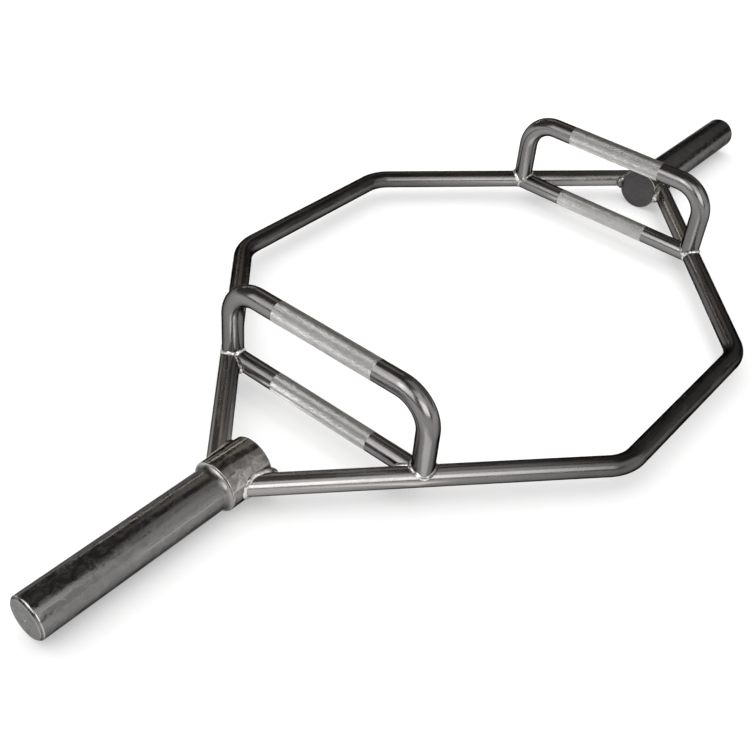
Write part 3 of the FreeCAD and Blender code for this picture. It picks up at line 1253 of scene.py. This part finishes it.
@dataclass(frozen=True)
class SoftBox:
    """A lit panel that the plating mirrors, in metres."""

    name: str
    place: tuple[float, float, float]
    aim: tuple[float, float, float]
    size: tuple[float, float]
    radiance: float
    colour: str = WHITE

    def hang(self) -> None:
        """Hangs the panel, which the camera doesn't see and which leaves the floor to its own lamp."""
        panel = bpy.data.lights.new(self.name, "AREA")
        panel.shape = "RECTANGLE"
        panel.size, panel.size_y = self.size
        panel.energy = self.radiance * math.pi * self.size[0] * self.size[1]
        panel.color = linear(self.colour)[:3]
        lamp = add_object(self.name, panel)
        lamp.location = self.place
        lamp.rotation_euler = (Vector(self.place) - Vector(self.aim)).to_track_quat("Z", "Y").to_euler()
        lamp.visible_camera = False
        lamp.visible_diffuse = False


@dataclass
class Studio:
    """White floor, soft lights, a dark room above a low white wall, and the camera, in metres."""

    eye: tuple[float, float, float] = (-1.028117, -0.592867, 0.851101)
    aim: tuple[float, float, float] = (-0.045819, 0.127993, -0.152427)
    roll: float = -0.1
    lens: float = 51.105
    floor_size: float = 80.0
    floor_drop: float = 0.0004          # so that it isn't in one plane with what stands on it
    floor_colour: str = "#F6F6F6"
    floor_glow: float = 0.4
    room_colour: str = "#565350"
    wall_edge: tuple[float, float] = (0.08, 0.11)       # where the wall ends, as the rise of a line of sight
    sun_from: tuple[float, float, float] = (-0.1, 0.28, 1.0)
    sun_power: float = 4.2
    sun_spread: float = 110.0
    boxes: tuple[SoftBox, ...] = (
        SoftBox("front_box", (-1.14, -1.7, 1.02), (-0.34, -0.12, 0.05), (1.35, 1.1), 3.8),
        SoftBox("brow_box", (-0.55, -0.92, 1.4), (-0.31, -0.15, 0.03), (1.1, 0.7), 1.4),
        SoftBox("arm_box", (-0.1, -0.22, 0.62), (-0.3, -0.16, 0.03), (0.34, 0.4), 0.5),
        SoftBox("left_box", (-1.2, 0.52, 1.05), (-0.32, 0.0, 0.08), (1.0, 1.3), 1.7),
        SoftBox("knurl_box", (-1.6, 0.0, 1.0), (-0.32, 0.0, 0.08), (1.0, 1.0), 2.6),
        SoftBox("fill_box", (0.6, -1.95, 1.05), (-0.5, 0.0, 0.05), (1.7, 1.9), 0.9),
        SoftBox("far_box", (2.3, -0.6, 1.5), (0.0, -0.1, 0.03), (2.6, 1.3), 0.18),
        SoftBox("rear_box", (1.5, 1.6, 1.92), (-0.3, 0.15, 0.05), (1.1, 1.2), 0.5, "#F4ECE0"),
        SoftBox("near_front_card", (-0.43, -0.215, 0.001), (-0.43, -0.215, 1.0), (0.18, 0.09), 1.4),
        SoftBox("near_rear_card", (-0.407, 0.075, 0.001), (-0.407, 0.075, 1.0), (0.1, 0.08), 2.4),
        SoftBox("far_front_card", (0.175, -0.193, 0.001), (0.175, -0.193, 1.0), (0.2, 0.06), 1.2),
        SoftBox("far_rear_card", (0.186, 0.075, 0.001), (0.186, 0.075, 1.0), (0.18, 0.07), 1.2),
        SoftBox("rear_strip", (1.2, 2.7, 1.05), (-0.5, 0.0, 0.05), (1.5, 0.19), 4.5, "#F4EEE4"),
    )

    def floor(self) -> None:
        """Lays the floor, which glows a little for the camera and in mirrors, so that the shadow stays soft."""
        half = self.floor_size / 2
        mesh = bpy.data.meshes.new("floor")
        corners = [(-half, -half), (half, -half), (half, half), (-half, half)]
        mesh.from_pydata([(x, y, -self.floor_drop) for x, y in corners], [], [(0, 1, 2, 3)])
        paper = bpy.data.materials.new("matt_white_paper")
        add = cleared(paper)
        sheet = add("ShaderNodeBsdfDiffuse", {"Color": linear(self.floor_colour)})
        glow = add("ShaderNodeEmission", {"Color": linear(WHITE), "Strength": 1.0})
        rays = add("ShaderNodeLightPath").outputs
        seen = add(MATH, {"operation": "MAXIMUM"}, {0: rays["Is Camera Ray"], 1: rays["Is Glossy Ray"]})
        through = add(MATH, {"operation": "MAXIMUM"}, {0: seen, 1: rays["Is Transmission Ray"]})
        share = add(MATH, {"operation": "MULTIPLY", 1: self.floor_glow}, {0: through})
        mixed = add("ShaderNodeMixShader", links={0: share, 1: sheet, 2: glow})
        add("ShaderNodeOutputMaterial", links={"Surface": mixed})
        mesh.materials.append(paper)
        add_object("floor", mesh)

    def room(self) -> None:
        """Paints the room: a white wall up to a low height and a dark warm ceiling."""
        world = bpy.data.worlds.new("studio_room")
        add = cleared(world)
        way = add("ShaderNodeTexCoord").outputs["Generated"]
        rise = add("ShaderNodeSeparateXYZ", links={0: way}).outputs["Z"]
        low, high = self.wall_edge
        dark = add(MAP_RANGE, {"interpolation_type": "SMOOTHSTEP", "From Min": low, "From Max": high}, {"Value": rise})
        colours = {MIX_FROM: linear(WHITE), MIX_TO: linear(self.room_colour)}
        colour = add(MIX, {"data_type": "RGBA", **colours}, {0: dark})
        light = add("ShaderNodeBackground", {"Strength": 1.0}, {"Color": colour.outputs[MIXED]})
        add("ShaderNodeOutputWorld", links={"Surface": light})
        bpy.context.scene.world = world

    def lamps(self) -> None:
        """Hangs the lamp that lights the floor, and the boxes that the metal mirrors."""
        sun = bpy.data.lights.new("floor_lamp", "SUN")
        sun.energy = self.sun_power
        sun.angle = math.radians(self.sun_spread)
        lamp = add_object("floor_lamp", sun)
        lamp.rotation_euler = Vector(self.sun_from).to_track_quat("Z", "Y").to_euler()
        lamp.visible_glossy = False
        for box in self.boxes:
            box.hang()

    def camera(self) -> None:
        """Stands the camera where the photograph was taken from."""
        eye = Vector(self.eye)
        ahead = (Vector(self.aim) - eye).normalized()
        right = ahead.cross(UP).normalized()
        down = ahead.cross(right)
        c, s = math.cos(self.roll), math.sin(self.roll)
        axes = Matrix((right * c + down * s, right * s - down * c, -ahead)).transposed()
        data = bpy.data.cameras.new("camera")
        data.lens = self.lens
        camera = add_object("camera", data)
        camera.matrix_world = Matrix.Translation(eye) @ axes.to_4x4()
        bpy.context.scene.camera = camera
        bpy.context.scene.view_settings.view_transform = "Standard"


# Drawn bar, bent and polished before it was plated: a dark mirror with long soft streaks, and a painted highlight that
# makes it paler by the collars
RAIL_CHROME = PlatedSteel(
    name="polished_chrome_on_bent_rail", colour="#545353", dull_colour="#605E5C", worn_colour="#9C9A98",
    roughness=0.2, dull_roughness=0.32, smudge_mm=(40.0, 10.0), smudge_share=0.45,
    line_mm=(70.0, 0.9), line_depth_mm=0.005, speck_mm=1.6, wave_mm=12.0, wave_depth_mm=0.07, stretch=0.3,
)
# The same kind of bar where hands hold it: satin, with a painted highlight that makes the level part a little paler
GRIP_CHROME = PlatedSteel(
    name="satin_chrome_on_grip_bar", colour="#6A6969", dull_colour="#72706E", worn_colour="#828080",
    roughness=0.17, dull_roughness=0.3, smudge_mm=(30.0, 9.0), smudge_share=0.45,
    line_mm=(60.0, 0.9), line_depth_mm=0.006, speck_mm=1.6, wave_mm=12.0, wave_depth_mm=0.07, stretch=0.35,
)
# Turned sleeve that plates slide on: a dark mirror, uneven and scuffed, with a painted highlight on its rounded rims
SLEEVE_CHROME = PlatedSteel(
    name="scuffed_chrome_on_turned_sleeve", colour="#6A6969", dull_colour="#787776", worn_colour="#A9A7A4",
    roughness=0.13, dull_roughness=0.34, smudge_mm=(14.0, 8.0), smudge_share=0.5,
    line_mm=(1.2, 60.0), line_depth_mm=0.003, speck_mm=1.4, wave_mm=8.0, wave_depth_mm=0.16, rim_colour="#8A8A8A",
)
# Turned collar: a smooth mirror under cloudy smudges, with a painted highlight on its rounded rims
COLLAR_CHROME = PlatedSteel(
    name="smudged_chrome_on_turned_collar", colour="#716F6D", dull_colour="#A3A09B", worn_colour="#A8A5A0",
    roughness=0.13, dull_roughness=0.28, smudge_mm=(9.0, 7.0), smudge_share=0.42,
    line_mm=(1.0, 40.0), line_depth_mm=0.004, speck_mm=1.2, wave_mm=6.0, wave_depth_mm=0.02,
)
# End face as the lathe left it: pale and blurred, with fine rings, and a painted highlight on its rounded rims
FACED_CHROME = PlatedSteel(
    name="chrome_on_faced_sleeve_end", colour="#868684", dull_colour="#787876", worn_colour="#B4B2AE",
    roughness=0.34, dull_roughness=0.46, smudge_mm=(7.0, 12.0), smudge_share=0.4,
    line_mm=(0.6, 50.0), line_depth_mm=0.006, speck_mm=1.0, wave_mm=6.0, wave_depth_mm=0.1, rim_colour="#C8C8C8",
)
# Inner hub face, which nothing rubs: even, dark and dull
INNER_CHROME = PlatedSteel(
    name="dull_chrome_on_inner_hub_face", colour="#4D4B4C", dull_colour="#565455", worn_colour="#8A8784",
    roughness=0.34, dull_roughness=0.44, smudge_mm=(10.0, 14.0), smudge_share=0.4,
    line_mm=(0.7, 50.0), line_depth_mm=0.004, speck_mm=1.2, wave_mm=6.0, wave_depth_mm=0.1,
)
# Weld dressed by hand: satin, with a painted highlight on its lip at the collar
SHOULDER_CHROME = PlatedSteel(
    name="satin_chrome_on_dressed_weld", colour="#6A6968", dull_colour="#777675", worn_colour="#B4B2AE",
    roughness=0.26, dull_roughness=0.38, smudge_mm=(6.0, 9.0), smudge_share=0.5,
    line_mm=(1.0, 20.0), line_depth_mm=0.006, speck_mm=1.0, wave_mm=4.0, wave_depth_mm=0.1, rim_colour="#909090",
)
# Rolled knurl: a pale grey glitter that the light streaks
KNURL_CHROME = KnurledSteel(
    name="rubbed_chrome_on_knurl", tip_colour="#DCDBD9", groove_colour="#A8A7A5",
    tip_roughness=0.26, groove_roughness=0.42, patch_mm=14.0,
)
# Weld beads: painted glints, small bright patches in darker metal
WELD_CHROME = WeldSteel(
    name="chrome_on_weld_bead", colour="#E0DEDA", soot_colour="#716F6D",
    roughness=0.34, soot_roughness=0.3, spot_mm=14.0, grit_mm=0.9, grit_depth_mm=0.02, seed=3.0,
)


def main() -> None:
    """Builds the sub-assemblies and the studio in order."""
    logging.basicConfig(level=logging.INFO, format="%(name)s: %(message)s")
    layout = Layout()
    finishes = (RAIL_CHROME, GRIP_CHROME, SLEEVE_CHROME, COLLAR_CHROME, INNER_CHROME, FACED_CHROME, SHOULDER_CHROME)
    rail_plating, grip_plating, sleeve, collar, inner, faced, shoulder = (finish.material() for finish in finishes)
    beads = WeldBeads(bead_tree(), WELD_CHROME.material())
    knurl = Knurl(knurl_tree(), KNURL_CHROME.material())
    for face in Face:
        rail = Rail(layout, face)
        rail.build(rail_plating)
        rail.weld(beads)
    for side in Side:
        hub = Hub(layout, side)
        hub.sleeve([sleeve, inner, faced])
        hub.collar([collar, inner])
        hub.shoulder(shoulder)
        grips = Grips(layout, side)
        grips.build(grip_plating, knurl)
        grips.weld(beads)
    left = [name for name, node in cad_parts.items() if not node.hide_render]
    log.info("nodes that no piece stands for: %s", ", ".join(left) or "none")
    studio = Studio()
    studio.floor()
    studio.room()
    studio.lamps()
    studio.camera()


if __name__ == "__main__":
    main()
